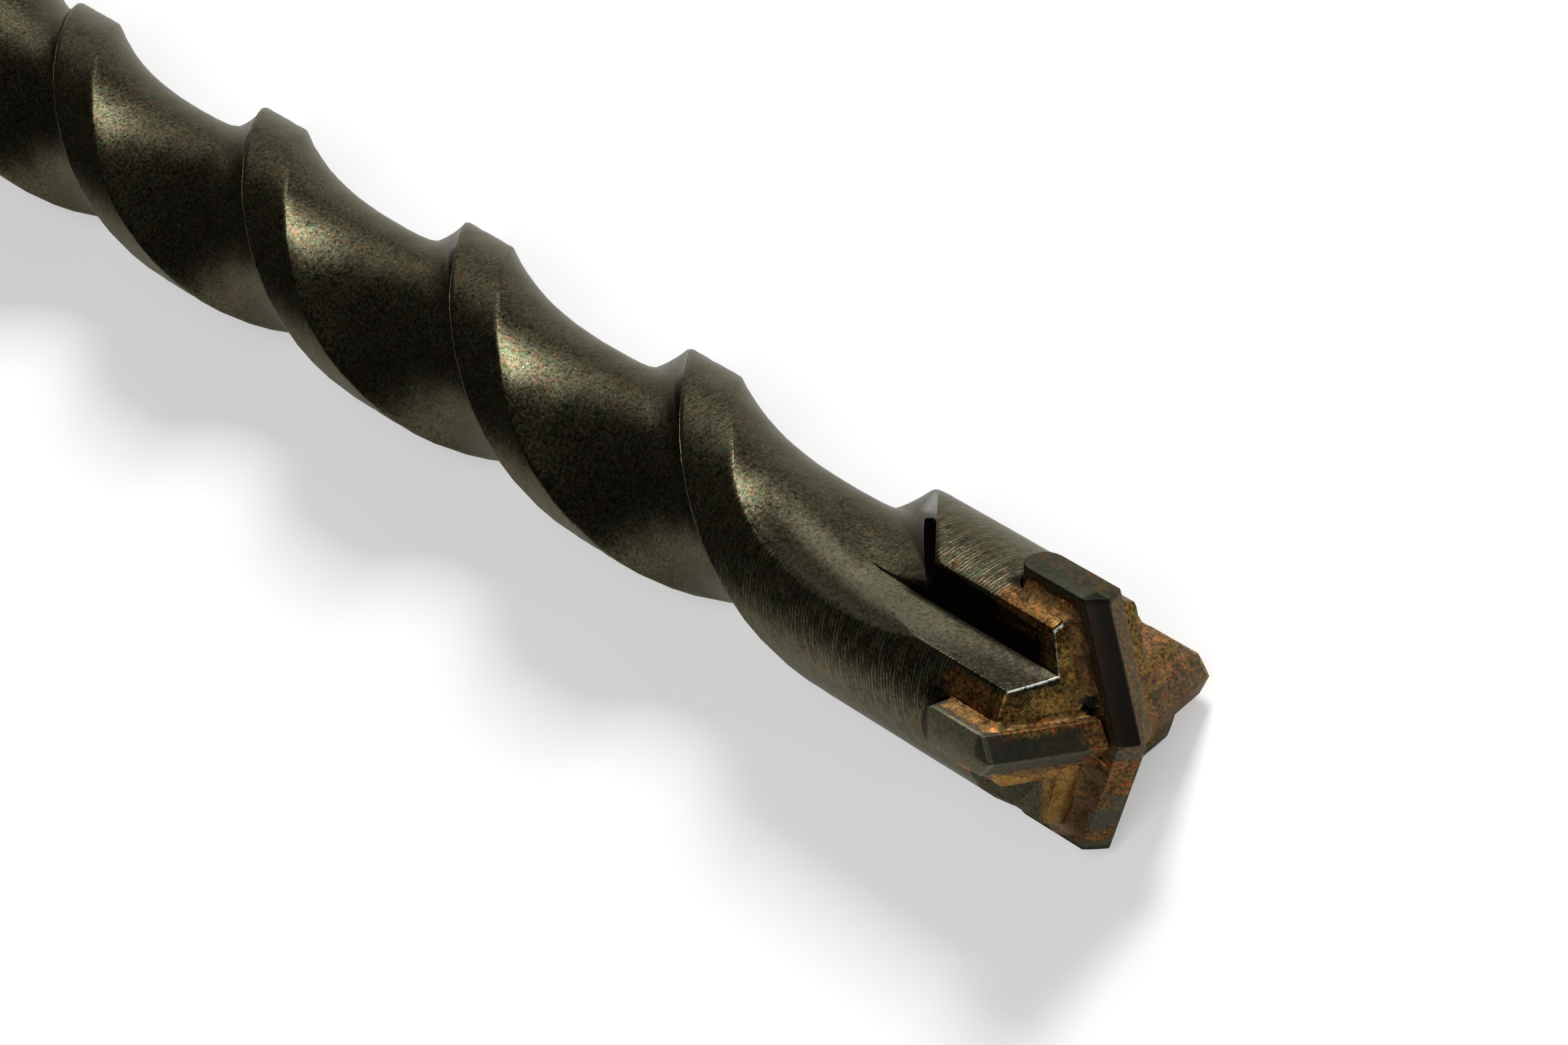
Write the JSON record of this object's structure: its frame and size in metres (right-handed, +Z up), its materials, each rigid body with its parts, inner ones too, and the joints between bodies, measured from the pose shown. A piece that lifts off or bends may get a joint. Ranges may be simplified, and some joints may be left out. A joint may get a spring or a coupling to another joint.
{
  "type": "sds-max drill bit",
  "caption": "Hammer drill bit with a milled carbide-tipped cross head, twin right-hand flutes and a slotted quick-lock shank.",
  "frame": {"origin": "on the floor under the middle of the bit", "axes": "+X along the bit towards its tip, +Z up; the bit lies on its lands"},
  "size_m": [0.32, 0.0212, 0.0211],
  "materials": {
    "bare_steel": "dull, used",
    "carbide": "ground, dulled by use"
  },
  "bodies": {
    "root": {"drill_body": "bare_steel", "main_carbide_plate": "carbide", "upper_side_plate": "carbide", "lower_side_plate": "carbide"}
  },
  "joints": []
}
